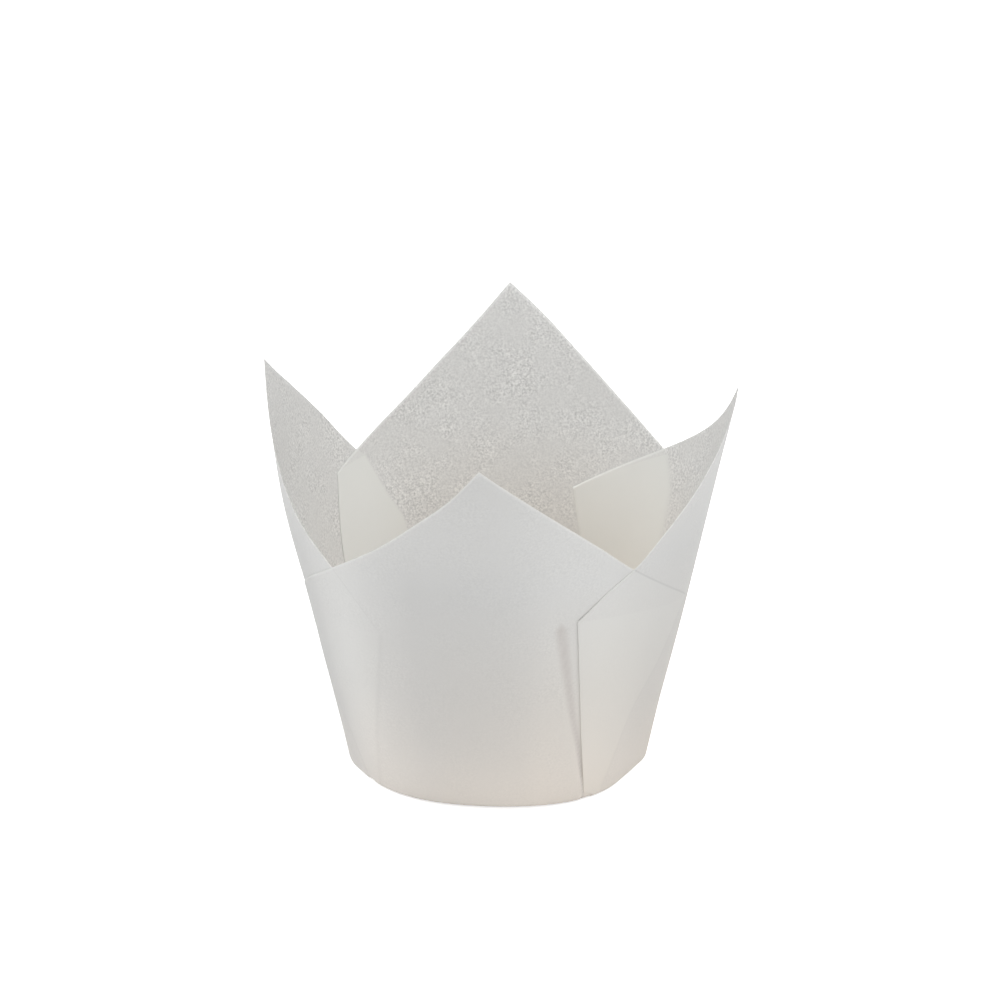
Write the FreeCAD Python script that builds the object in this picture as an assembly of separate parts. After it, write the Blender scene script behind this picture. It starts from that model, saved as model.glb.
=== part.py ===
import FreeCAD, Part
import math
import os

# A cupcake liner: one square sheet of greaseproof paper pressed into a round cup.
# Its four corners stand up as points, and the paper left over between two corners
# is laid into a knife pleat, three layers deep, on the inside of the wall.
# Millimetres. +Z is up, the origin is the middle of the underside, and the
# corners point along +X, +Y, -X and -Y, the last towards the viewer.

# Driving dimensions: name, value, what it is
SIZES = [
    ("sheet_side", 126.2, "side of the flat square sheet"),
    ("paper_thickness", 0.08, "thickness of the paper"),
    ("base_diameter", 50.0, "diameter of the cup where the wall leaves the base"),
    ("base_corner_radius", 2.0, "radius of the bend between base and wall"),
    ("pleat_swell", 1.4, "how far the foot of the wall stands out at each pleat"),
    ("layer_pitch", 0.32, "distance from one layer of a pleat to the next"),
    ("pleat_margin", 3.5, "where a panel starts to widen, degrees before its pleat"),
    ("lean_right", 12.1, "lean of the wall at the right corner, degrees"),
    ("lean_back_right", 13.6, "lean of the wall at the back right pleat"),
    ("lean_back", 12.0, "lean of the wall at the back corner"),
    ("lean_back_left", 11.7, "lean of the wall at the back left pleat"),
    ("lean_left", 10.2, "lean of the wall at the left corner"),
    ("lean_front_left", 11.9, "lean of the wall at the front left pleat"),
    ("lean_front", 12.2, "lean of the wall at the front corner"),
    ("lean_front_right", 8.2, "lean of the wall at the front right pleat"),
    ("azimuth_back_right", 45.3, "where the back right pleat leaves the base, degrees from +X"),
    ("azimuth_back_left", 137.5, "where the back left pleat leaves the base"),
    ("azimuth_front_left", 224.6, "where the front left pleat leaves the base"),
    ("azimuth_front_right", 306.2, "where the front right pleat leaves the base"),
    ("slant_back_right", 4.3, "slant of that pleat towards the higher azimuth, degrees"),
    ("slant_back_left", -12.5, "slant of that pleat towards the higher azimuth"),
    ("slant_front_left", -4.2, "slant of that pleat towards the higher azimuth"),
    ("slant_front_right", 10.7, "slant of that pleat towards the higher azimuth"),
]

PLEATS = ("back_right", "back_left", "front_left", "front_right")
ROUND = ("right", "back_right", "back", "back_left", "left", "front_left", "front", "front_right")
QUARTER = math.pi / 2

# Points along one stretch of a section, and the levels at which sections are taken:
# shares of the way up the wall, and round the foot from the floor
PANEL_POINTS = 5
FAN_POINTS = 4
LAYER_POINTS = 4
BEND_POINTS = 4
WALL_LEVELS = (0.0, 0.25, 0.5, 0.75, 1.0)
FOOT_LEVELS = (0.0, 0.2, 0.4, 0.7)
FOLD_CLOSED_AT = 0.6
SEW_TOLERANCE = 0.002
HALVINGS = 50


doc = FreeCAD.newDocument("cupcake_liner")
sheet = doc.addObject("Spreadsheet::Sheet", "sizes")
for row, (alias, value, meaning) in enumerate(SIZES, start=1):
    sheet.set("A%d" % row, alias)
    sheet.set("B%d" % row, str(value))
    sheet.set("C%d" % row, meaning)
    sheet.setAlias("B%d" % row, alias)
doc.recompute()


def size(alias):
    return float(sheet.get(alias))


def angle(alias):
    return math.radians(size(alias))


HALF_DIAGONAL = size("sheet_side") / math.sqrt(2)
THICKNESS = size("paper_thickness")
BASE_RADIUS = size("base_diameter") / 2
FOOT_RADIUS = size("base_corner_radius")
PITCH = size("layer_pitch")
BEND_RADIUS = PITCH / 2
LEANS = [angle("lean_" + name) for name in ROUND]
MEAN_LEAN = sum(LEANS) / len(LEANS)

# The wall unrolls to a flat sector about its apex. A quarter of the cup takes up
# only 2 * HALF_SECTOR there, where the flat sheet has a right angle.
APEX_TO_BASE = BASE_RADIUS / math.sin(MEAN_LEAN)
APEX_TO_SHEET_CENTRE = APEX_TO_BASE - BASE_RADIUS
HALF_SECTOR = QUARTER / 2 * math.sin(MEAN_LEAN)
FOLD_ANGLE = QUARTER / 2 - HALF_SECTOR
PIVOT = APEX_TO_SHEET_CENTRE * (math.cos(HALF_SECTOR) + math.sin(HALF_SECTOR) / math.tan(FOLD_ANGLE))


def smooth(share):
    share = min(max(share, 0.0), 1.0)
    return share * share * (3 - 2 * share)


def even(count):
    """Evenly spaced shares from 0 to 1."""
    return [step / (count - 1) for step in range(count)]


# Shape of the wall, without its pleats

def lean_at(azimuth):
    """Lean of the wall, blended between the corners and the pleats."""
    eighths = azimuth / (QUARTER / 2)
    first = math.floor(eighths)
    share = (1 - math.cos(math.pi * (eighths - first))) / 2
    return LEANS[first % 8] * (1 - share) + LEANS[(first + 1) % 8] * share


def foot_radius_at(azimuth):
    """Radius of the base ring, a little wider at the pleats than at the corners."""
    return BASE_RADIUS + size("pleat_swell") * (1 - math.cos(4 * azimuth)) / 2


def meridian(azimuth, run):
    """Radius, height and slope of the paper's middle, run up the slope from the base ring."""
    lean = lean_at(azimuth)
    turn = math.pi / 2 - lean
    ring = foot_radius_at(azimuth)
    if run < 0:
        swing = turn + run / FOOT_RADIUS
        centre = ring - FOOT_RADIUS * math.sin(turn)
        radius = centre + FOOT_RADIUS * math.sin(swing)
        height = THICKNESS / 2 + FOOT_RADIUS * (1 - math.cos(swing))
        return radius, height, swing
    radius = ring + run * math.sin(lean)
    height = THICKNESS / 2 + FOOT_RADIUS * (1 - math.cos(turn)) + run * math.cos(lean)
    return radius, height, turn


def foot_run(azimuth):
    """Length of paper in the bend between base and wall."""
    return FOOT_RADIUS * (math.pi / 2 - lean_at(azimuth))


def place(azimuth, run, outward):
    """Point of space at an azimuth and run, moved outward along the wall's normal."""
    radius, height, slope = meridian(azimuth, run)
    radius += outward * math.sin(slope)
    height -= outward * math.cos(slope)
    return FreeCAD.Vector(radius * math.cos(azimuth), radius * math.sin(azimuth), height)


# Flat pattern of the pleats

def edge_run(off):
    """Run at which the sheet's edge lies, at an azimuth off a corner."""
    flat = abs(off) * math.sin(MEAN_LEAN)
    return (HALF_DIAGONAL + APEX_TO_SHEET_CENTRE) / (math.cos(flat) + math.sin(flat)) - APEX_TO_BASE


class Pleat:
    """A knife pleat: fold 1 ends the panel before it, fold 2 starts the panel after it."""

    def __init__(self, number):
        name = PLEATS[number]
        self.number = number
        self.before = number * QUARTER
        self.after = (number + 1) * QUARTER
        self.azimuth = angle("azimuth_" + name)
        self.slant_1 = angle("slant_" + name) + FOLD_ANGLE / 2
        self.slant_2 = angle("slant_" + name) - FOLD_ANGLE / 2
        self.top_1 = self.top(self.slant_1, self.before)
        self.top_2 = self.top(self.slant_2, self.after)
        self.middle = (self.fold_1(0.0) + self.fold_2(0.0)) / 2

    def fold(self, slant, run):
        """Azimuth of a fold line at a run."""
        distance = APEX_TO_BASE + run
        along = math.sqrt(distance ** 2 - (PIVOT * math.sin(slant)) ** 2) - PIVOT * math.cos(slant)
        flat = math.atan2(along * math.sin(slant), PIVOT + along * math.cos(slant))
        return self.azimuth + flat / math.sin(MEAN_LEAN)

    def top(self, slant, corner):
        """Run at which a fold line meets the sheet's edge, by halving."""
        low, high = 0.0, HALF_DIAGONAL
        for _ in range(HALVINGS):
            middle = (low + high) / 2
            if middle < edge_run(self.fold(slant, middle) - corner):
                low = middle
            else:
                high = middle
        return low

    def fold_1(self, run):
        return self.fold(self.slant_1, min(max(run, 0.0), self.top_1))

    def fold_2(self, run):
        return self.fold(self.slant_2, min(max(run, 0.0), self.top_2))


pleats = [Pleat(number) for number in range(4)]


# Sections through all the layers

class Level:
    """One section round the cup: share 0 to 1 up the wall, or round the foot below it."""

    def __init__(self, share, in_foot):
        self.share = share
        self.in_foot = in_foot
        self.opening = 1.0
        self.width = 1.0
        if in_foot:
            self.opening = smooth(share / FOLD_CLOSED_AT)
            self.width = smooth((share - FOLD_CLOSED_AT) / (1 - FOLD_CLOSED_AT))

    def run(self, azimuth, top):
        if self.in_foot:
            return (self.share - 1) * foot_run(azimuth)
        return self.share * top


def fold_profile(level, width):
    """Middle line of a pleat as three runs of (along, outward, heading): bend, straight, bend."""
    arc = math.pi * BEND_RADIUS
    straight = max(PITCH, (width - PITCH) * level.width)
    turn = math.pi * level.opening
    parts = ((arc, turn, BEND_POINTS), (straight, 0.0, LAYER_POINTS), (arc, -turn, BEND_POINTS))
    along, outward, heading = 0.0, 0.0, 0.0
    lines = []
    for length, bend, count in parts:
        line = []
        for part in even(count):
            angle_here = heading + bend * part
            # The chord of a bend so far points halfway round it
            half_bend = bend * part / 2
            chord = length * part
            if half_bend:
                chord *= math.sin(half_bend) / half_bend
            line.append((along + chord * math.cos(heading + half_bend),
                         outward + chord * math.sin(heading + half_bend), angle_here))
        along, outward, heading = line[-1]
        lines.append(line)
    centred = [[(x - along / 2, out - outward, turned) for x, out, turned in line] for line in lines]
    return centred, outward, along


def panel_offset(number, azimuth, run, rise):
    """How far a panel lies inside the outermost layer, at an azimuth off its own corner."""
    before = pleats[number - 1]
    after = pleats[number]
    low = before.fold_1(run) - before.after
    high = after.fold_2(run) - after.before
    return -rise * smooth((azimuth - low) / (high - low))


def panel(level, pleat, towards, stop, rise, half):
    """Two stretches of one skin of the panel beside a pleat: corner to margin, and on to a stop."""
    if towards > 0:
        number, corner = pleat.number, pleat.before
        end = pleat.fold_1(pleat.top_1)
    else:
        number, corner = (pleat.number + 1) % 4, pleat.after
        end = pleat.fold_2(pleat.top_2)
    margin = pleat.middle - towards * angle("pleat_margin")
    stretches = []
    for first, last, rim, count in ((corner, margin, margin, PANEL_POINTS), (margin, stop, end, FAN_POINTS)):
        points = []
        for part in even(count):
            azimuth = first + part * (last - first)
            rim_azimuth = first + part * (rim - first)
            run = level.run(azimuth, edge_run(rim_azimuth - corner))
            outward = panel_offset(number, azimuth - corner, run, rise)
            points.append(place(azimuth, run, outward + half))
        stretches.append(points)
    return stretches


def section(level, side):
    """Stretches of points round one skin at one level, side +1 outside and -1 inside."""
    half = side * THICKNESS / 2
    stretches = []
    for pleat in pleats:
        fold_1 = pleat.fold_1(level.run(pleat.azimuth, pleat.top_1))
        fold_2 = pleat.fold_2(level.run(pleat.azimuth, pleat.top_2))
        middle = (fold_1 + fold_2) / 2
        radius = meridian(middle, level.run(middle, (pleat.top_1 + pleat.top_2) / 2))[0]
        profile, rise, reach = fold_profile(level, (fold_1 - fold_2) * radius)
        stretches += panel(level, pleat, 1, middle - reach / 2 / radius, rise, half)
        tops = ((pleat.top_1, pleat.top_1), (pleat.top_1, pleat.top_2), (pleat.top_2, pleat.top_2))
        for line, (first, last) in zip(profile, tops):
            points = []
            for part, (along, outward, heading) in zip(even(len(line)), line):
                azimuth = middle + (along - half * math.sin(heading)) / radius
                run = level.run(azimuth, first + part * (last - first))
                points.append(place(azimuth, run, outward + half * math.cos(heading)))
            stretches.append(points)
        last = panel(level, pleat, -1, middle + reach / 2 / radius, rise, half)
        stretches += [points[::-1] for points in reversed(last)]
    # Neighbouring stretches share their end points
    for first, second in zip(stretches, stretches[1:] + stretches[:1]):
        second[0] = first[-1]
    return stretches


# Skins, floor and rim, sewn into one solid

def facets(below, above):
    """Four-sided faces between two closed rows of points."""
    faces = []
    for number in range(len(below)):
        patch = Part.BezierSurface()
        patch.setPole(1, 1, below[number - 1])
        patch.setPole(2, 1, below[number])
        patch.setPole(1, 2, above[number - 1])
        patch.setPole(2, 2, above[number])
        faces.append(patch.toShape())
    return faces


def disc(points):
    """Flat face inside a closed row of points."""
    return Part.Face(Part.makePolygon(points + points[:1]))


def rows(side):
    """Closed rows of points of one skin, from the floor up to the rim."""
    levels = [Level(share, True) for share in FOOT_LEVELS] + [Level(share, False) for share in WALL_LEVELS]
    return [[point for stretch in section(level, side) for point in stretch[1:]] for level in levels]


outside = rows(1)
inside = rows(-1)
faces = [disc(outside[0]), disc(inside[0])] + facets(outside[-1], inside[-1])
for skin in (outside, inside):
    for below, above in zip(skin, skin[1:]):
        faces += facets(below, above)
shell = Part.Compound(faces)
shell.sewShape(SEW_TOLERANCE)
paper = Part.Solid(shell.Shells[0] if shell.ShapeType != "Shell" else shell)
if paper.Volume < 0:
    paper.reverse()

liner = doc.addObject("Part::Feature", "cupcake_liner")
liner.Label = "cupcake_liner"
liner.Shape = paper
liner.Placement = FreeCAD.Placement()
doc.recompute()

for item in doc.Objects:
    if "Invalid" in item.State or "Error" in item.State:
        raise RuntimeError("%s failed" % item.Label)
if liner.Shape.isNull() or not liner.Shape.isValid():
    raise RuntimeError("cupcake_liner has no valid shape")

os.makedirs("parts", exist_ok=True)
liner.Shape.exportStep("parts/cupcake_liner.step")
box = liner.Shape.BoundBox
print("cupcake_liner: %d faces, %.1f mm3, %.1f x %.1f x %.1f mm" % (
    len(liner.Shape.Faces), liner.Shape.Volume, box.XLength, box.YLength, box.ZLength))
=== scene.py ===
import math
from collections import namedtuple

import bpy
import numpy as np
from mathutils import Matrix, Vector


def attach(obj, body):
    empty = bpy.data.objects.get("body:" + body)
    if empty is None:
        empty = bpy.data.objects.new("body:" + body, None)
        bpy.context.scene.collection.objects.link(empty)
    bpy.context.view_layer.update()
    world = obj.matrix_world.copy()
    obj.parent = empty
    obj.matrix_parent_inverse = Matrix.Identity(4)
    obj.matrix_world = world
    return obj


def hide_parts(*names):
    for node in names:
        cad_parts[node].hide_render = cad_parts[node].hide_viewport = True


bl_info = {
    "name": "Cupcake liner",
    "version": (1, 0, 0),
    "blender": (4, 5, 0),
    "location": "3D View > Sidebar > Liner",
    "description": "Builds a tulip cupcake liner folded from one sheet of greaseproof paper",
    "category": "Add Mesh",
}

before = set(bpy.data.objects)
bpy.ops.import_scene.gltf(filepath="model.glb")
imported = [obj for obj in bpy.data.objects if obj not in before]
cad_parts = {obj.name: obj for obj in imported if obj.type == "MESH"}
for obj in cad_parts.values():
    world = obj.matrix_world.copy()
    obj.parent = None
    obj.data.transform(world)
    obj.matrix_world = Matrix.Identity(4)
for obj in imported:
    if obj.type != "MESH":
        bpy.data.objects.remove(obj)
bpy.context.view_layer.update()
MM = 0.001

# Azimuths are in degrees, with the sheet's corners near 0 at the right, 90 at the back,
# 180 at the left and 270 at the front. Runs are in mm up the wall, from where a bend of
# RUN_BEND between base and wall would meet it.
RUN_BEND = 2.0

# Lean of the wall in degrees, every 45 degrees round from the right corner
LEANS = (12.1, 13.6, 12.0, 11.7, 10.2, 11.9, 12.2, 8.2)

# Mean growth of the wall's radius with run, which turns degrees round it into mm
MEAN_FLARE = 0.2

# Each pleat follows the panel of the same number. Its inner and its outer fold are given
# as (run, azimuth), the last at the top of the fold. Then how clearly the layers behind
# show through, and over how many mm their outline blurs.
PLEATS = (
    {"inner": ((0, 49.7), (8, 56.3), (15, 61.8), (22.5, 66.8), (30.5, 70.5)),
     "outer": ((0, 42.7), (9, 38.4), (18, 36.6), (27, 36.4), (34, 37.2), (40.2, 42.0)),
     "shows": 1.0, "soft": 1.3},
    {"inner": ((0, 138.5), (8, 144.5), (15, 148.2), (22.8, 149.3), (37.0, 145.0)),
     "outer": ((0, 131.2), (8, 126.5), (16, 123.4), (24, 122.8), (31, 128.2), (37.9, 133.5)),
     "shows": 1.0, "soft": 0.3},
    {"inner": ((0, 227.5), (10, 231.8), (20, 236.0), (30.7, 239.5)),
     "outer": ((0, 220.2), (8, 213.6), (16, 207.8), (24, 202.7), (30.7, 198.4)),
     "shows": 0.3, "soft": 0.8},
    {"inner": ((0, 313.0), (9.8, 322.0), (14.4, 327.5), (21.3, 337.6), (28.7, 348.4)),
     "outer": ((0, 305.2), (10.5, 301.9), (22.4, 299.0), (34.0, 296.5)),
     "shows": 1.0, "soft": 0.7},
)

# The sheet's edge over each panel, as (azimuth, run): from the corner down to the outer
# fold of the pleat before it, and on to the inner fold of its own pleat
RIMS = (
    {"down": ((1.9, 62.6), (-8, 58.4), (-16.1, 54.2), (-25.1, 49.1), (-35.4, 44.3), (-44.4, 40.4),
              (-55.1, 37.6), (-63.5, 34.0)),
     "on": ((1.9, 62.6), (7.6, 58.6), (15.5, 54.0), (24.8, 49.2), (43.5, 40.9), (57, 35.6), (70.5, 30.5))},
    {"down": ((90.4, 64.5), (81.4, 59.2), (71.8, 53.2), (59.9, 46.6), (49.3, 42.3), (42.0, 40.2)),
     "on": ((90.4, 64.5), (98, 58.6), (106.0, 53.3), (120.8, 45.2), (136.0, 39.4), (145.0, 37.0))},
    {"down": ((180.8, 65.6), (171.5, 61.0), (161.5, 56.2), (147.9, 48.2), (136.0, 39.4), (133.5, 37.9)),
     "on": ((180.8, 65.6), (190, 59.2), (200, 53.4), (213, 47.2), (226.4, 41.1), (233, 36.4),
            (239.5, 30.7))},
    {"down": ((269.5, 64.5), (262.6, 58.9), (255.0, 54.3), (243.7, 48.2), (226.4, 41.1), (212, 35.8),
              (198.4, 30.7)),
     "on": ((269.5, 64.5), (278.8, 59.1), (289.2, 53.2), (301.6, 46.7), (314.0, 40.6), (331, 34.2),
            (348.4, 28.7))},
)

# Soft waves in the wall: how many go round, mm of run to a radian, phase in radians and
# share of the height. The base was pressed hardest, so they reach full height further up.
WAVES = ((5, 19, 0.8, 0.5), (9, -13, 2.1, 0.3), (14, 9, 0.0, 0.2))
WAVES_FULL_AT = 30

# Places where a panel stands out or in: azimuth and run of the middle, half widths in
# degrees and mm, height in mm
BULGES = (
    (188, 43, 17, 13, 1.1),
    (249, 26, 10, 24, -0.5),
    (231, 22, 8, 22, 0.35),
    (304, 30, 9, 22, 0.3),
    (325, 14, 7, 16, -0.3),
)
BULGES_FULL_AT = 8

# Where the foot stands in or out of its round, as (azimuth, mm), and the run it fades by
FOOT_OFFSETS = ((0, -0.1), (40, 0.0), (140, 0.0), (180, -0.3), (194, -0.45), (206, -0.25), (216, -0.6),
                (228, -0.4), (250, -0.1), (300, 0.0), (316, -0.3), (328, -0.75), (336, -0.55), (345, 0.1),
                (353, -0.15), (360, -0.1))
FOOT_FADES_BY = 22.0

# The run over which the layers of a pleat spread
SPREAD_RUN = 36

# A panel that passes under the next one is drawn in over a blend, in mm, which grows up
# the fold and again over a run above it. The layers lie one pitch apart from a shorter
# run above it.
BLEND_AT_BASE = 0.5
BLEND_GROWTH = 2.2
BLEND_ABOVE = 7.0
BLEND_ABOVE_BY = 12
CLOSED_BY = 4

# The crease in the front panel beside its fold, where the panel dips in and is painted with shade, as (run,
# azimuth). Its half width in mm grows towards its top. It fades out over a run above that, and near the
# base.
CREASE = ((0, 304.9), (8, 301.6), (16, 297.8), (25, 294.4), (33, 291.6))
CREASE_PANEL = 3
CREASE_TOP = 33.0
CREASE_HALF_WIDTH = 0.3
CREASE_GROWTH = 0.9
CREASE_END = 1.5
CREASE_FULL_AT = 5

# Painted shade: bands round the wall where the outer face is painted darker, standing in for the shading of
# its panels, as (azimuth, share): less at the base, and less again in the points
SHADE_BANDS = ((0, 0.25), (30, 0.1), (150, 0.1), (185, 0.3), (205, 0.55), (212, 0.5), (220, 0.18), (229, 0.0),
         (242, 0.3), (252, 0.5), (265, 0.42), (280, 0.28), (290, 0.12), (303, 0.15), (318, 0.3), (335, 0.45),
         (360, 0.25))
SHADE_AT_BASE = 0.5
SHADE_FADE = 0.6
SHADE_FADES_FROM = 38
SHADE_RAMP = 14

# The grid: columns round the cup and rows up it. Columns crowd towards the folds by a
# power. Round the foot a pleat unfolds in the lower share and gains its width above it.
PANEL_COLUMNS = 48
LAYER_COLUMNS = 16
BEND_COLUMNS = 7
WALL_ROWS = 68
FOOT_ROWS = 12
BASE_ROWS = 10
CROWDING = 1.15
OPEN_UNTIL = 0.55

# What a point of the grid holds: its place on the wall and the paper's tilt, in radians,
# from the wall's own. Then what the material draws with: how far the point is past the
# hidden fold, in blurs; how many mm it is below the edges of the two layers behind and
# below the sheet's own; how clearly those layers show; and how many half widths it is
# from the crease.
Point = namedtuple("Point", (
    "azimuth", "run", "outward", "tilt", "side", "near", "far", "edge", "shows", "crease"))

# A distance beyond anything that the material draws, and what the base holds of each
# value that the mesh carries
OUT_OF_REACH = 9.0
BASE_CARRIES = {"painted_shade": 0.0, "side": -OUT_OF_REACH, "near": OUT_OF_REACH, "far": OUT_OF_REACH,
                "edge": OUT_OF_REACH, "shows": 0.0, "crease": OUT_OF_REACH}

# Grain of the paper, in mm
GRAIN = 0.36
CLOUDS = 6
TOOTH = 0.3
TOOTH_DEPTH = 0.03
CUT_FIBRES = 0.4

# Half width in mm over which a layer behind begins to show at its edge
EDGE_BLUR = 0.2

# Heights in mm up to which the warm tint and the painted light at the base reach, and the places from left
# to right between which the tint comes in
TINT_REACH = 42
BASE_LIGHT_REACH = 22
TINT_FROM = -22
TINT_TO = -6

# Studio: each softbox's name, place in metres and power in watts
SOFTBOXES = (
    ("left softbox", (-0.6, -0.1, 0.7), 3.0),
    ("right softbox", (0.6, -0.1, 0.7), 3.1),
    ("front softbox", (0.0, -0.9, 0.45), 1.4),
    ("top softbox", (0.0, -0.1, 1.0), 1.0),
)
SOFTBOX_SIZE = 0.4
SOFTBOX_AIM = (0, 0, 0.03)
ROOM_LIGHT = 0.4
FLOOR_REACH = 3.0
FLOOR_DROP = 0.2
FLOOR_GLOW = 0.62

# The photograph's viewpoint, a little to the right of the front corner and 25 degrees up.
# The liner's middle and how far above and to the right of it the camera aims are in mm.
CAMERA_TURN = math.radians(3.57)
CAMERA_RISE = math.radians(25.06)
CAMERA_DISTANCE = 0.7
CAMERA_LENS = 157.4
SENSOR_WIDTH = 36
NEAREST_SEEN = 0.01
MIDDLE_HEIGHT = 35
AIM_ABOVE = 6.87
AIM_ACROSS = 0.36


class LinerSizes(bpy.types.PropertyGroup):
    """Sizes of the folded liner."""

    base_radius: bpy.props.FloatProperty(
        name="Base radius", description="Radius of the cup where the wall leaves the base",
        default=25 * MM, unit="LENGTH")
    pleat_swell: bpy.props.FloatProperty(
        name="Pleat swell", description="How far the foot of the wall stands out at each pleat",
        default=1.4 * MM, unit="LENGTH")
    foot_radius: bpy.props.FloatProperty(
        name="Foot radius", description="Radius of the bend between base and wall",
        default=1.1 * MM, unit="LENGTH")
    paper: bpy.props.FloatProperty(
        name="Paper thickness", description="Thickness of the paper",
        default=0.04 * MM, unit="LENGTH")
    layer_pitch: bpy.props.FloatProperty(
        name="Layer pitch", description="Distance from one layer of a pleat to the next at the base",
        default=0.055 * MM, unit="LENGTH")
    layer_spread: bpy.props.FloatProperty(
        name="Layer spread", description="How much further apart the layers stand at the top of a pleat",
        default=0.01 * MM, unit="LENGTH")
    valley: bpy.props.FloatProperty(
        name="Valley", description="How much further a panel is drawn in where it passes under the next one",
        default=0.03 * MM, unit="LENGTH")
    crease: bpy.props.FloatProperty(
        name="Crease", description="Depth of the crease rubbed into the front panel",
        default=0.2 * MM, unit="LENGTH")
    waves: bpy.props.FloatProperty(
        name="Waves", description="Height of the soft waves in the panels",
        default=0.2 * MM, unit="LENGTH")


class LinerColours(bpy.types.PropertyGroup):
    """Colours of the paper, as sRGB hex."""

    fibre: bpy.props.StringProperty(
        name="Fibre", description="White greaseproof paper where its fibres lie densest", default="F0F0EE")
    pore: bpy.props.StringProperty(
        name="Pore", description="The same paper at the thin places between fibres", default="C2C2C1")
    # Painted light: paper with layers behind it is painted whiter
    stacked: bpy.props.StringProperty(
        name="Stacked paper", description="Paper with more layers behind it", default="E4E5E2")
    warm: bpy.props.StringProperty(
        name="Warm tint", description="Tint laid over the paper towards the base", default="FFF6EC")
    # Painted light: the lighter colour laid on the paper from the base up
    painted_base_light: bpy.props.StringProperty(
        name="Pressed paper", description="Paper pressed lighter against the mould", default="F8F0E8")
    # Painted shade: the grey laid along the crease beside the front panel's fold
    crease: bpy.props.StringProperty(
        name="Crease", description="Fibres crushed grey along the rubbed crease", default="BDB6B2")
    edge: bpy.props.StringProperty(
        name="Cut edge", description="Bare fibres along the cut edge", default="EFEEEA")


def linear(code):
    """sRGB hex to linear colour with alpha."""
    out = []
    for place in (0, 2, 4):
        value = int(code[place:place + 2], 16) / 255
        out.append(value / 12.92 if value <= 0.04045 else ((value + 0.055) / 1.055) ** 2.4)
    return (*out, 1.0)


# Curves through the tables

def smooth(share):
    share = np.clip(share, 0.0, 1.0)
    return share * share * (3 - 2 * share)


def through(pairs, at):
    """Smooth curve through pairs without overshoot, held level beyond its ends."""
    pairs = sorted(pairs)
    x = np.array([pair[0] for pair in pairs], float)
    y = np.array([pair[1] for pair in pairs], float)
    step = np.diff(x)
    rise = np.diff(y) / step
    slope = np.zeros(len(x))
    slope[0] = rise[0]
    slope[-1] = rise[-1]
    for k in range(1, len(x) - 1):
        if rise[k - 1] * rise[k] > 0:
            ahead = 2 * step[k] + step[k - 1]
            behind = step[k] + 2 * step[k - 1]
            slope[k] = (ahead + behind) / (ahead / rise[k - 1] + behind / rise[k])
    at = np.clip(np.asarray(at, float), x[0], x[-1])
    k = np.clip(np.searchsorted(x, at) - 1, 0, len(step) - 1)
    t = (at - x[k]) / step[k]
    start = (1 + 2 * t) * (1 - t) ** 2 * y[k] + t * (1 - t) ** 2 * step[k] * slope[k]
    return start + t * t * (3 - 2 * t) * y[k + 1] + t * t * (t - 1) * step[k] * slope[k + 1]


def fold(pleat, which, run):
    """Azimuth of a fold at a run."""
    return float(through(PLEATS[pleat][which], run))


def rim(panel, side, azimuth):
    """Run of the sheet's edge over a panel."""
    return float(through(RIMS[panel][side], azimuth))


# Share of painted shade at a point of the wall
def painted_shade_at(azimuth, run):
    painted_shade = through(SHADE_BANDS, azimuth % 360) * (SHADE_AT_BASE + (1 - SHADE_AT_BASE) * smooth(run / SHADE_RAMP))
    return painted_shade * (1 - SHADE_FADE * smooth((run - SHADE_FADES_FROM) / SHADE_RAMP))


def crease_distance(panel, azimuth, run, per_degree):
    """Distance from the crease, which dips the panel and carries painted shade, in its own half widths."""
    if panel != CREASE_PANEL:
        return OUT_OF_REACH
    away = abs(azimuth - float(through(CREASE, run))) * per_degree
    half_width = CREASE_HALF_WIDTH + CREASE_GROWTH * max(run, 0.0) / CREASE_TOP
    return away / half_width + max(run - CREASE_TOP, 0.0) / CREASE_END


# The wall, worked out in mm

def lean_at(azimuth):
    """Lean of the wall in radians."""
    eighths = np.asarray(azimuth, float) / 45
    first = np.floor(eighths).astype(int)
    share = (1 - np.cos(np.pi * (eighths - first))) / 2
    leans = np.array(LEANS)
    return np.radians(leans[first % 8] * (1 - share) + leans[(first + 1) % 8] * share)


def wave_at(azimuth, run, height):
    """How far the waves and bulges stand out of the wall."""
    turn = np.radians(azimuth)
    wave = 0.0
    for count, length, phase, share in WAVES:
        wave = wave + share * np.sin(count * turn + run / length + phase)
    out = height * wave * smooth(run / WAVES_FULL_AT)
    for middle, level, wide, tall, rise in BULGES:
        off = (azimuth - middle + 180) % 360 - 180
        shape = np.exp(-(off / wide) ** 2 - ((run - level) / tall) ** 2)
        out = out + rise * shape * smooth(run / BULGES_FULL_AT)
    return out


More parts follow.
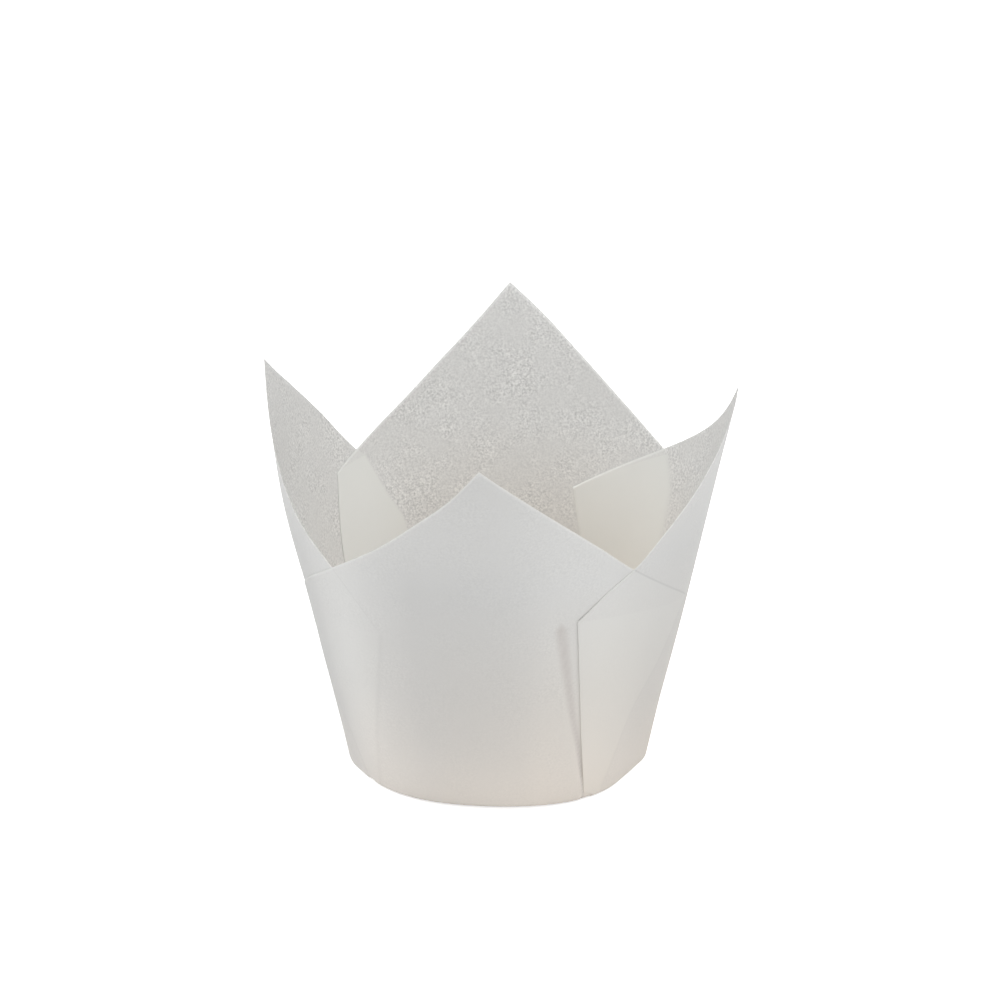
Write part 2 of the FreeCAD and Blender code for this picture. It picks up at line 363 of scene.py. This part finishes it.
class Wall:
    """The round wall and foot, before the pleats are laid on it."""

    def __init__(self, sizes):
        self.base = sizes.base_radius / MM
        self.swell = sizes.pleat_swell / MM
        self.foot = sizes.foot_radius / MM
        self.half = sizes.paper / MM / 2
        self.pitch = sizes.layer_pitch / MM
        self.spread = sizes.layer_spread / MM
        self.valley = sizes.valley / MM
        self.crease = sizes.crease / MM
        self.waves = sizes.waves / MM

    def straight_below(self, turn):
        """Length of straight wall below run 0, before the foot's own bend."""
        return (RUN_BEND - self.foot) * np.tan(turn / 2)

    def foot_run(self, azimuth):
        """Length from run 0 down to the flat base."""
        turn = np.pi / 2 - lean_at(azimuth)
        return float(self.foot * turn + self.straight_below(turn))

    def gap(self, run):
        """Distance between two layers of a pleat."""
        return float(self.pitch + self.spread * smooth(run / SPREAD_RUN))

    def per_degree(self, run):
        """Length of a degree round the wall."""
        return math.radians(1) * (self.base + np.maximum(run, 0.0) * MEAN_FLARE)

    def place(self, azimuth, run, outward):
        """Points of space in metres, moved outward along the wall's normal."""
        lean = lean_at(azimuth)
        turn = np.pi / 2 - lean
        angle = np.radians(azimuth)
        below = self.straight_below(turn)
        straight = np.maximum(run, -below)
        swing = turn + np.minimum(run + below, 0.0) / self.foot
        up = np.maximum(run, 0.0)
        outward = outward + wave_at(azimuth, up, self.waves)
        ring = self.base + self.swell * (1 - np.cos(4 * angle)) / 2
        ring = ring + through(FOOT_OFFSETS, azimuth % 360) * (1 - smooth(up / FOOT_FADES_BY))
        radius = ring + straight * np.sin(lean) + self.foot * (np.sin(swing) - np.sin(turn))
        height = self.half + RUN_BEND * (1 - np.cos(turn)) + straight * np.cos(lean)
        height = height + self.foot * (np.cos(turn) - np.cos(swing))
        radius = radius + outward * np.sin(swing)
        height = height - outward * np.cos(swing)
        return np.stack([radius * np.cos(angle), radius * np.sin(angle), height], -1) * MM


# The folded sheet, as a grid of the middle of the paper

def rows():
    """Share of the foot or of the wall at which each row lies, and whether it is in the foot."""
    foot = [(k / FOOT_ROWS, True) for k in range(FOOT_ROWS)]
    return foot + [(k / WALL_ROWS, False) for k in range(WALL_ROWS + 1)]


def openness(share, in_foot):
    """How far a pleat is folded at a row, and how much of its width it has."""
    if not in_foot:
        return 1.0, 1.0
    return float(smooth(share / OPEN_UNTIL)), float(smooth((share - OPEN_UNTIL) / (1 - OPEN_UNTIL)))


def profile(folded, width, pitch):
    """A pleat seen from above, from inner panel to outer: points of along, outward, heading and
    part, without the last, which belongs to the panel; and how far along and outward it reaches."""
    arc = np.pi * pitch / 2
    straight = max(pitch, width - pitch) if folded == 1.0 else pitch
    parts = (
        (arc, np.pi * folded, BEND_COLUMNS),
        (straight, 0.0, LAYER_COLUMNS),
        (arc, -np.pi * folded, BEND_COLUMNS),
    )
    line = []
    along, outward, heading = 0.0, 0.0, 0.0
    for part, (length, bend, count) in enumerate(parts):
        for k in range(1, count + 1):
            share = k / count
            half = bend * share / 2
            chord = length * share * (math.sin(half) / half if half else 1.0)
            line.append((
                along + chord * math.cos(heading + half), outward + chord * math.sin(heading + half),
                heading + bend * share, part))
        along, outward, heading = line[-1][:3]
    return line[:-1], along, outward


class PleatRow:
    """One row of the grid, from the corner before a pleat to the corner after it."""

    def __init__(self, wall, pleat, share, in_foot):
        self.wall = wall
        self.pleat = pleat
        self.share = share
        self.in_foot = in_foot
        self.shows = PLEATS[pleat]["shows"]
        self.soft = PLEATS[pleat]["soft"]
        self.inner_top, self.inner_end = PLEATS[pleat]["inner"][-1]
        self.outer_top, self.outer_end = PLEATS[pleat]["outer"][-1]

        # The last panel's pleat ends at the first panel, a whole turn on
        self.after = (pleat + 1) % len(PLEATS)
        self.swing = 0 if self.after else 360
        self.corner_before = RIMS[pleat]["on"][0][0]
        self.corner_after = RIMS[self.after]["down"][0][0] + self.swing

        up = 0.0 if in_foot else share
        run = up * self.inner_top
        self.inner = fold(pleat, "inner", run)
        self.outer = fold(pleat, "outer", up * self.outer_top)
        self.middle = (self.inner + self.outer) / 2
        self.per_degree = float(wall.per_degree(run))
        self.pitch = wall.gap(run)
        width = (self.inner - self.outer) * self.per_degree
        folded, width_share = openness(share, in_foot)
        if in_foot:
            width = self.pitch * 2 + max(width - 2 * self.pitch, 0.0) * width_share
        self.line, self.reach, self.rise = profile(folded, width, self.pitch)

        # A panel's straight part ends half a pitch before its fold
        self.short = self.pitch / 2 / self.per_degree

    def run_at(self, azimuth, top):
        """Run of this row: down the foot, or a share of the way up to the sheet's edge."""
        if self.in_foot:
            return (self.share - 1) * self.wall.foot_run(azimuth)
        return self.share * top

    def middle_edge(self, azimuth):
        """Run of the middle layer's own edge, between the tops of the two folds."""
        share = np.clip((azimuth - self.outer_end) / (self.inner_end - self.outer_end), 0, 1)
        return float(self.outer_top + share * (self.inner_top - self.outer_top))

    def drawn_in(self, run, side):
        """How far inside the outermost layer the inner panel lies."""
        above = run - self.outer_top
        folded = smooth(run / self.outer_top)
        closed = smooth(above / CLOSED_BY)
        blend = BLEND_AT_BASE + BLEND_GROWTH * folded + BLEND_ABOVE * smooth(above / BLEND_ABOVE_BY)
        layers = self.rise + (self.pitch - self.rise) * float(closed)
        valley = self.wall.valley * self.shows * float(folded * (1 - closed))
        return (layers + valley) * float(smooth(side / blend + 1.0))

    def inner_panel(self):
        """From the corner before to the inner fold, passing behind the pleat's other layers."""
        stop = self.middle - self.reach / 2 / self.per_degree
        points = []
        for k in range(PANEL_COLUMNS):
            part = 1 - (1 - k / PANEL_COLUMNS) ** CROWDING
            azimuth = self.corner_before + part * (stop - self.corner_before)
            top = rim(self.pleat, "on", self.corner_before + part * (self.inner_end - self.corner_before))
            run = self.run_at(azimuth, top)
            if not self.in_foot:
                last = fold(self.pleat, "inner", run) - self.short
                azimuth = self.corner_before + part * (last - self.corner_before)
            side = (azimuth - fold(self.pleat, "outer", run)) * self.per_degree
            crease = crease_distance(self.pleat, azimuth, run, self.per_degree)
            dip = self.wall.crease * math.exp(-crease ** 2) * float(smooth(run / CREASE_FULL_AT))
            points.append(Point(
                azimuth, run, -self.drawn_in(run, side) - dip, 0.0, side / self.soft,
                self.middle_edge(azimuth) - run, rim(self.after, "down", azimuth - self.swing) - run,
                top - run, self.shows, crease))
        return points

    def fold_layers(self):
        """The inner bend, the middle layer and the outer bend."""
        points = []
        for along, outward, heading, part in self.line:
            azimuth = self.middle + (along - self.reach / 2) / self.per_degree
            share = np.clip((self.inner - azimuth) / (self.inner - self.outer), 0, 1)
            between = float(self.inner_top + (self.outer_top - self.inner_top) * share)
            top = (self.inner_top, between, self.outer_top)[part]
            run = self.run_at(azimuth, top)
            points.append(Point(
                azimuth, run, outward - self.rise, heading, OUT_OF_REACH / self.soft, OUT_OF_REACH,
                OUT_OF_REACH, top - run, self.shows, OUT_OF_REACH))
        return points

    def outer_panel(self):
        """From the outer fold to the corner after, outermost all the way."""
        start = self.middle + self.reach / 2 / self.per_degree
        points = []
        for k in range(PANEL_COLUMNS):
            part = (k / PANEL_COLUMNS) ** CROWDING
            azimuth = start + part * (self.corner_after - start)
            end = self.outer_end + part * (self.corner_after - self.outer_end)
            top = rim(self.after, "down", end - self.swing)
            run = self.run_at(azimuth, top)
            if not self.in_foot:
                first = fold(self.pleat, "outer", run) + self.short
                azimuth = first + part * (self.corner_after - first)
            side = (fold(self.pleat, "inner", run) - azimuth) * self.per_degree
            points.append(Point(
                azimuth, run, 0.0, 0.0, side / self.soft, self.middle_edge(azimuth) - run,
                rim(self.pleat, "on", azimuth) - run, top - run, self.shows, OUT_OF_REACH))
        return points


def build_grid(wall):
    """Arrays, rows by columns, of what each point holds."""
    blocks = []
    for pleat in range(len(PLEATS)):
        block = []
        for share, in_foot in rows():
            row = PleatRow(wall, pleat, share, in_foot)
            block.append(row.inner_panel() + row.fold_layers() + row.outer_panel())
        blocks.append(np.array(block))
    grid = np.concatenate(blocks, axis=1)
    held = {name: grid[:, :, k] for k, name in enumerate(Point._fields)}
    held["painted_shade"] = painted_shade_at(held["azimuth"], held["run"])
    return held


# The mesh: an outer and an inner skin, joined by the cut edge

def skin_points(wall, grid, half):
    """One skin of the paper, half its thickness outward, with the base's rows before the foot's."""
    shift = -half * np.sin(grid["tilt"]) / wall.per_degree(grid["run"])
    skin = wall.place(grid["azimuth"] + shift, grid["run"], grid["outward"] + half * np.cos(grid["tilt"]))
    ring = skin[0]
    base = [ring * (1, 1, 0) * (k / BASE_ROWS) + ring * (0, 0, 1) for k in range(1, BASE_ROWS)]
    return np.concatenate([np.array(base), skin], axis=0)


# Numbers of the paper's materials: its two faces and its cut edge
OUTER_FACE = 0
INNER_FACE = 1
CUT_EDGE = 2


def paper_faces(count_rows, count_columns):
    """Faces of both skins and the cut edge, with the number of each face's material."""
    faces = []
    slots = []
    per_skin = count_rows * count_columns
    ring = [(column, (column + 1) % count_columns) for column in range(count_columns)]
    for skin, order in ((OUTER_FACE, 1), (INNER_FACE, -1)):
        first = skin * per_skin
        for row in range(count_rows - 1):
            low = first + row * count_columns
            high = low + count_columns
            for here, ahead in ring:
                quad = (low + here, low + ahead, high + ahead, high + here)
                faces.append(quad[::order])
                slots.append(skin)
        hub = 2 * per_skin + skin
        for here, ahead in ring:
            fan = (first + here, hub, first + ahead)
            faces.append(fan[::order])
            slots.append(skin)
    outer = per_skin - count_columns
    inner = outer + per_skin
    for here, ahead in ring:
        faces.append((outer + here, outer + ahead, inner + ahead, inner + here))
        slots.append(CUT_EDGE)
    return faces, slots


class BuildPaper(bpy.types.Operator):
    """Folds the sheet of greaseproof paper into the cup"""

    bl_idname = "liner.build_paper"
    bl_label = "Build the paper"

    def execute(self, context):
        wall = Wall(context.scene.liner_sizes)
        grid = build_grid(wall)
        skins = [skin_points(wall, grid, half) for half in (wall.half, -wall.half)]
        hubs = [(0, 0, skin[0, :, 2].mean()) for skin in skins]
        points = np.concatenate([skin.reshape(-1, 3) for skin in skins] + [np.array(hubs)])
        faces, slots = paper_faces(*skins[0].shape[:2])
        mesh = bpy.data.meshes.new("liner_paper")
        mesh.from_pydata([tuple(point) for point in points], [], faces)
        mesh.polygons.foreach_set("material_index", slots)
        mesh.polygons.foreach_set("use_smooth", [slot != CUT_EDGE for slot in slots])

        for name, fill in BASE_CARRIES.items():
            base = np.full((BASE_ROWS - 1, grid[name].shape[1]), fill)
            values = np.concatenate([base, grid[name]], axis=0).ravel()
            values = np.concatenate([values, values, [fill, fill]]).astype(np.float32)
            mesh.attributes.new("paper_" + name, "FLOAT", "POINT").data.foreach_set("value", values)
        mesh.validate()
        mesh.update()

        # The inside has a bold grain, and the painted light of the layers behind it hides that wholly; the
        # outside is smoother, and shows the hidden edges and folds instead as painted shade
        colours = context.scene.liner_colours
        mesh.materials.append(greaseproof_paper(
            "greaseproof paper outer face", colours, fleck=0.2, hiding=0.5, lines=0.6, painted_shade_strength=1.0))
        mesh.materials.append(greaseproof_paper(
            "greaseproof paper inner face", colours, fleck=0.9, hiding=1.0, lines=0.0, painted_shade_strength=0.0))
        mesh.materials.append(cut_edge(colours))
        paper = bpy.data.objects.new("liner_paper", mesh)
        context.scene.collection.objects.link(paper)
        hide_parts("cupcake_liner")
        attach(paper, "root")
        return {"FINISHED"}


# Materials

def add(tree, kind, links=None, **settings):
    """Adds a node with its settings, and links its inputs to other nodes' sockets or fixed values."""
    node = tree.nodes.new(kind)
    for name, value in settings.items():
        setattr(node, name, value)
    for name, value in (links or {}).items():
        socket = node.inputs[name]
        if isinstance(value, bpy.types.NodeSocket):
            tree.links.new(value, socket)
        else:
            socket.default_value = value
    return node


def layers_behind(tree, held, hiding):
    """How much of the pleat lies behind the paper: across its hidden fold, below the edge of the
    middle layer, and in all, 0 where the paper is single and 1 where the whole pleat is behind."""
    across = add(tree, "ShaderNodeMapRange", {
        "Value": held["side"], "From Min": -1.0, "From Max": 1.0, "To Min": 0.0, "To Max": held["shows"]},
        interpolation_type="SMOOTHSTEP").outputs["Result"]
    below = []
    for name in ("near", "far"):
        step = add(tree, "ShaderNodeMapRange", {
            "Value": held[name], "From Min": -EDGE_BLUR, "From Max": EDGE_BLUR,
            "To Min": 0.0, "To Max": 0.5},
            interpolation_type="SMOOTHSTEP")
        below.append(step.outputs["Result"])
    stack = add(tree, "ShaderNodeMath", {0: below[0], 1: below[1]}, operation="ADD").outputs[0]
    for share in (across, hiding):
        stack = add(tree, "ShaderNodeMath", {0: stack, 1: share}, operation="MULTIPLY").outputs[0]
    return across, below[0], stack


def seen_through_shade(tree, held, across, below, strength):
    """Painted shade seen through the paper: a thin grey line at the hidden sheet's own edge, and a soft one
    over a hidden fold."""
    lines = []
    for name, sharp, wide, share, where in (
            ("far", 0.05, 0.3, strength, across),
            ("side", 0.0, 0.9, strength * 0.6, below)):
        beside = add(tree, "ShaderNodeMath", {0: held[name]}, operation="ABSOLUTE").outputs[0]
        line = add(tree, "ShaderNodeMapRange", {
            "Value": beside, "From Min": sharp, "From Max": wide, "To Min": share, "To Max": 0.0},
            interpolation_type="SMOOTHSTEP").outputs["Result"]
        lines.append(add(tree, "ShaderNodeMath", {0: line, 1: where}, operation="MULTIPLY").outputs[0])
    return add(tree, "ShaderNodeMath", {0: lines[0], 1: lines[1]}, operation="MAXIMUM").outputs[0]


def warmth(tree, place):
    """Share of the warm tint, which grows towards the base and the right, as in the photograph."""
    low = add(tree, "ShaderNodeMapRange", {
        "Value": place.outputs["Z"], "From Min": 0.0, "From Max": TINT_REACH * MM,
        "To Min": 1.0, "To Max": 0.0}).outputs["Result"]
    rightward = add(tree, "ShaderNodeMapRange", {
        "Value": place.outputs["X"], "From Min": TINT_FROM * MM, "From Max": TINT_TO * MM,
        "To Min": 0.2, "To Max": 1.0}).outputs["Result"]
    return add(tree, "ShaderNodeMath", {0: low, 1: rightward}, operation="MULTIPLY").outputs[0]


def grain_share(tree, where, stack, fleck):
    """Fibres and pores: a fine grain, stronger in clouds, that layers behind the paper hide."""
    fine = add(tree, "ShaderNodeTexNoise", {
        "Vector": where, "Scale": 1 / (GRAIN * MM), "Detail": 2.0, "Roughness": 0.6})
    cloud = add(tree, "ShaderNodeTexNoise", {
        "Vector": where, "Scale": 1 / (CLOUDS * MM), "Detail": 2.0, "Roughness": 0.5})
    shown = add(tree, "ShaderNodeMapRange", {
        "Value": fine.outputs["Fac"], "From Min": 0.28, "From Max": 0.72,
        "To Min": -0.5, "To Max": 0.5}).outputs["Result"]
    strength = add(tree, "ShaderNodeMapRange", {
        "Value": cloud.outputs["Fac"], "From Min": 0.36, "From Max": 0.64,
        "To Min": 0.4, "To Max": 1.3}).outputs["Result"]
    single = add(tree, "ShaderNodeMath", {0: 1.0, 1: stack}, operation="SUBTRACT").outputs[0]
    for share in (strength, single):
        shown = add(tree, "ShaderNodeMath", {0: shown, 1: share}, operation="MULTIPLY").outputs[0]
    return add(tree, "ShaderNodeMath", {0: shown, 1: fleck, 2: 0.5}, operation="MULTIPLY_ADD").outputs[0]


def greaseproof_paper(name, colours, fleck, hiding, lines, painted_shade_strength):
    """Greaseproof paper: dense, calendered and a little see-through, so thin places between its fibres show
    as grey flecks, and where layers lie behind it the flecks vanish and it is painted whiter, standing in
    for the light those layers send back through it."""
    material = bpy.data.materials.new(name)
    material.use_nodes = True
    tree = material.node_tree
    shader = tree.nodes["Principled BSDF"]
    where = add(tree, "ShaderNodeTexCoord").outputs["Object"]
    place = add(tree, "ShaderNodeSeparateXYZ", {"Vector": where})
    held = {}
    for carried in BASE_CARRIES:
        held[carried] = add(tree, "ShaderNodeAttribute", attribute_name="paper_" + carried).outputs["Fac"]

    across, below, stack = layers_behind(tree, held, hiding)
    # Painted shade where hidden edges and folds show through
    line = seen_through_shade(tree, held, across, below, lines)
    grain = grain_share(tree, where, stack, fleck)

    # Painted light: the paper is painted lighter from the base up
    painted_base_light = add(tree, "ShaderNodeMapRange", {
        "Value": place.outputs["Z"], "From Min": 0.0, "From Max": BASE_LIGHT_REACH * MM,
        "To Min": 0.36, "To Max": 0.0}).outputs["Result"]

    # Painted shade: darker bands round the outer face, standing in for the shading of its panels
    painted_shade_share = add(tree, "ShaderNodeMath", {0: held["painted_shade"], 1: painted_shade_strength}, operation="MULTIPLY").outputs[0]

    # Painted shade: a soft grey streak along the crease, where the front panel dips in beside its fold
    painted_crease_shade = add(tree, "ShaderNodeMapRange", {
        "Value": held["crease"], "From Min": 0.0, "From Max": 1.3, "To Min": 0.5, "To Max": 0.0},
        interpolation_type="SMOOTHSTEP").outputs["Result"]

    # The cut edge catches the light in a line about 0.3 mm wide
    bright = add(tree, "ShaderNodeMapRange", {
        "Value": held["edge"], "From Min": 0.15, "From Max": 0.4,
        "To Min": 0.25, "To Max": 0.0}).outputs["Result"]

    tint = add(tree, "ShaderNodeMix", {
        "Factor": warmth(tree, place), 6: (1, 1, 1, 1), 7: linear(colours.warm)},
        data_type="RGBA").outputs[2]
    colour = linear(colours.pore)
    for share, over, blend in (
            (grain, linear(colours.fibre), "MIX"),
            # painted light where layers lie behind
            (stack, linear(colours.stacked), "MIX"),
            # painted shade of hidden edges and folds
            (line, linear(colours.pore), "MIX"),
            (1.0, tint, "MULTIPLY"),
            # painted light towards the base
            (painted_base_light, linear(colours.painted_base_light), "MIX"),
            # painted shade in bands round the wall
            (painted_shade_share, linear(colours.pore), "MIX"),
            # painted shade along the crease
            (painted_crease_shade, linear(colours.crease), "MIX"),
            (bright, linear(colours.edge), "MIX")):
        colour = add(tree, "ShaderNodeMix", {"Factor": share, 6: colour, 7: over},
                     data_type="RGBA", blend_type=blend).outputs[2]
    tree.links.new(colour, shader.inputs["Base Color"])

    # Fibres too fine to model one by one, as a tooth in the surface and in its sheen
    tooth = add(tree, "ShaderNodeTexNoise", {"Vector": where, "Scale": 1 / (TOOTH * MM), "Detail": 2.0})
    bump = add(tree, "ShaderNodeBump", {
        "Height": tooth.outputs["Fac"], "Strength": 0.12, "Distance": TOOTH_DEPTH * MM})
    gloss = add(tree, "ShaderNodeMapRange", {
        "Value": tooth.outputs["Fac"], "From Min": 0.3, "From Max": 0.7, "To Min": 0.62, "To Max": 0.78})
    tree.links.new(bump.outputs["Normal"], shader.inputs["Normal"])
    tree.links.new(gloss.outputs["Result"], shader.inputs["Roughness"])
    shader.inputs["IOR"].default_value = 1.45
    shader.inputs["Specular IOR Level"].default_value = 0.25
    return material


def cut_edge(colours):
    """The cut edge of the paper: bare fibres, matt and a little lighter than the faces."""
    material = bpy.data.materials.new("greaseproof paper cut edge")
    material.use_nodes = True
    tree = material.node_tree
    shader = tree.nodes["Principled BSDF"]
    where = add(tree, "ShaderNodeTexCoord").outputs["Object"]
    fibre = add(tree, "ShaderNodeTexNoise", {"Vector": where, "Scale": 1 / (CUT_FIBRES * MM), "Detail": 2.0})
    tint = add(tree, "ShaderNodeMix", {
        "Factor": fibre.outputs["Fac"], 6: linear(colours.edge), 7: linear(colours.stacked)},
        data_type="RGBA")
    tree.links.new(tint.outputs[2], shader.inputs["Base Color"])
    shader.inputs["Roughness"].default_value = 0.85
    shader.inputs["Specular IOR Level"].default_value = 0.15
    return material


def seen_directly(tree):
    """1 for rays from the camera, mirrored or sent through, 0 for those that carry light."""
    path = add(tree, "ShaderNodeLightPath")
    seen = path.outputs["Is Camera Ray"]
    for kind in ("Is Glossy Ray", "Is Transmission Ray"):
        seen = add(tree, "ShaderNodeMath", {0: seen, 1: path.outputs[kind]}, operation="MAXIMUM").outputs[0]
    return seen


def white_floor():
    """Seamless white paper under studio light: white to the eye, but it keeps the soft shadow."""
    material = bpy.data.materials.new("seamless white floor")
    material.use_nodes = True
    tree = material.node_tree
    shader = tree.nodes["Principled BSDF"]
    shader.inputs["Base Color"].default_value = linear("F4F4F4")
    shader.inputs["Roughness"].default_value = 0.9
    shader.inputs["Specular IOR Level"].default_value = 0.0
    shader.inputs["Emission Color"].default_value = (1, 1, 1, 1)
    glow = add(tree, "ShaderNodeMath", {0: seen_directly(tree), 1: FLOOR_GLOW}, operation="MULTIPLY")
    tree.links.new(glow.outputs[0], shader.inputs["Emission Strength"])
    return material


def white_room():
    """White wherever it is seen, and a weaker light all round."""
    world = bpy.data.worlds.new("studio")
    world.use_nodes = True
    tree = world.node_tree
    background = tree.nodes["Background"]
    background.inputs["Color"].default_value = (1, 1, 1, 1)
    strength = add(tree, "ShaderNodeMapRange", {
        "Value": seen_directly(tree), "To Min": ROOM_LIGHT, "To Max": 1.0})
    tree.links.new(strength.outputs["Result"], background.inputs["Strength"])
    return world


class BuildStage(bpy.types.Operator):
    """Sets out the pale floor, the soft studio light and the camera"""

    bl_idname = "liner.build_stage"
    bl_label = "Build the stage"

    def execute(self, context):
        scene = context.scene
        floor_mesh = bpy.data.meshes.new("floor")
        signs = ((-1, -1), (1, -1), (1, 1), (-1, 1))
        floor_corners = [(x * FLOOR_REACH, y * FLOOR_REACH, 0) for x, y in signs]
        floor_mesh.from_pydata(floor_corners, [], [(0, 1, 2, 3)])
        floor_mesh.materials.append(white_floor())
        floor = bpy.data.objects.new("floor", floor_mesh)
        floor.location.z = -FLOOR_DROP * MM
        scene.collection.objects.link(floor)
        scene.world = white_room()

        for name, place, power in SOFTBOXES:
            lamp = bpy.data.lights.new(name, "AREA")
            lamp.shape = "DISK"
            lamp.size = SOFTBOX_SIZE
            lamp.energy = power
            light = bpy.data.objects.new(name, lamp)
            light.location = place
            light.rotation_euler = (Vector(SOFTBOX_AIM) - Vector(place)).to_track_quat("-Z", "Y").to_euler()
            scene.collection.objects.link(light)

        cos_turn, sin_turn = math.cos(CAMERA_TURN), math.sin(CAMERA_TURN)
        cos_rise, sin_rise = math.cos(CAMERA_RISE), math.sin(CAMERA_RISE)
        middle = Vector((0, 0, MIDDLE_HEIGHT * MM))
        across = Vector((cos_turn, sin_turn, 0))
        towards = Vector((sin_turn * cos_rise, -cos_turn * cos_rise, sin_rise))
        above = Vector((-sin_turn * sin_rise, cos_turn * sin_rise, cos_rise))
        data = bpy.data.cameras.new("camera")
        data.sensor_width = SENSOR_WIDTH
        data.lens = CAMERA_LENS
        data.clip_start = NEAREST_SEEN
        camera = bpy.data.objects.new("camera", data)
        camera.location = middle + CAMERA_DISTANCE * towards
        aim = middle + above * AIM_ABOVE * MM + across * AIM_ACROSS * MM
        camera.rotation_euler = (aim - camera.location).to_track_quat("-Z", "Y").to_euler()
        scene.collection.objects.link(camera)
        scene.camera = camera
        scene.view_settings.view_transform = "Standard"
        return {"FINISHED"}


class LinerPanel(bpy.types.Panel):
    """Sizes, colours and building steps of the liner"""

    bl_idname = "VIEW3D_PT_liner"
    bl_label = "Cupcake liner"
    bl_space_type = "VIEW_3D"
    bl_region_type = "UI"
    bl_category = "Liner"

    def draw(self, context):
        for group in (context.scene.liner_sizes, context.scene.liner_colours):
            for name in group.__annotations__:
                self.layout.prop(group, name)
        for step in STEPS:
            self.layout.operator(step.bl_idname)


STEPS = (BuildPaper, BuildStage)
CLASSES = (LinerSizes, LinerColours) + STEPS + (LinerPanel,)


def register():
    for item in CLASSES:
        bpy.utils.register_class(item)
    bpy.types.Scene.liner_sizes = bpy.props.PointerProperty(type=LinerSizes)
    bpy.types.Scene.liner_colours = bpy.props.PointerProperty(type=LinerColours)


def unregister():
    del bpy.types.Scene.liner_colours
    del bpy.types.Scene.liner_sizes
    for item in reversed(CLASSES):
        bpy.utils.unregister_class(item)


def main():
    register()
    bpy.ops.liner.build_paper()
    bpy.ops.liner.build_stage()


if __name__ == "__main__":
    main()
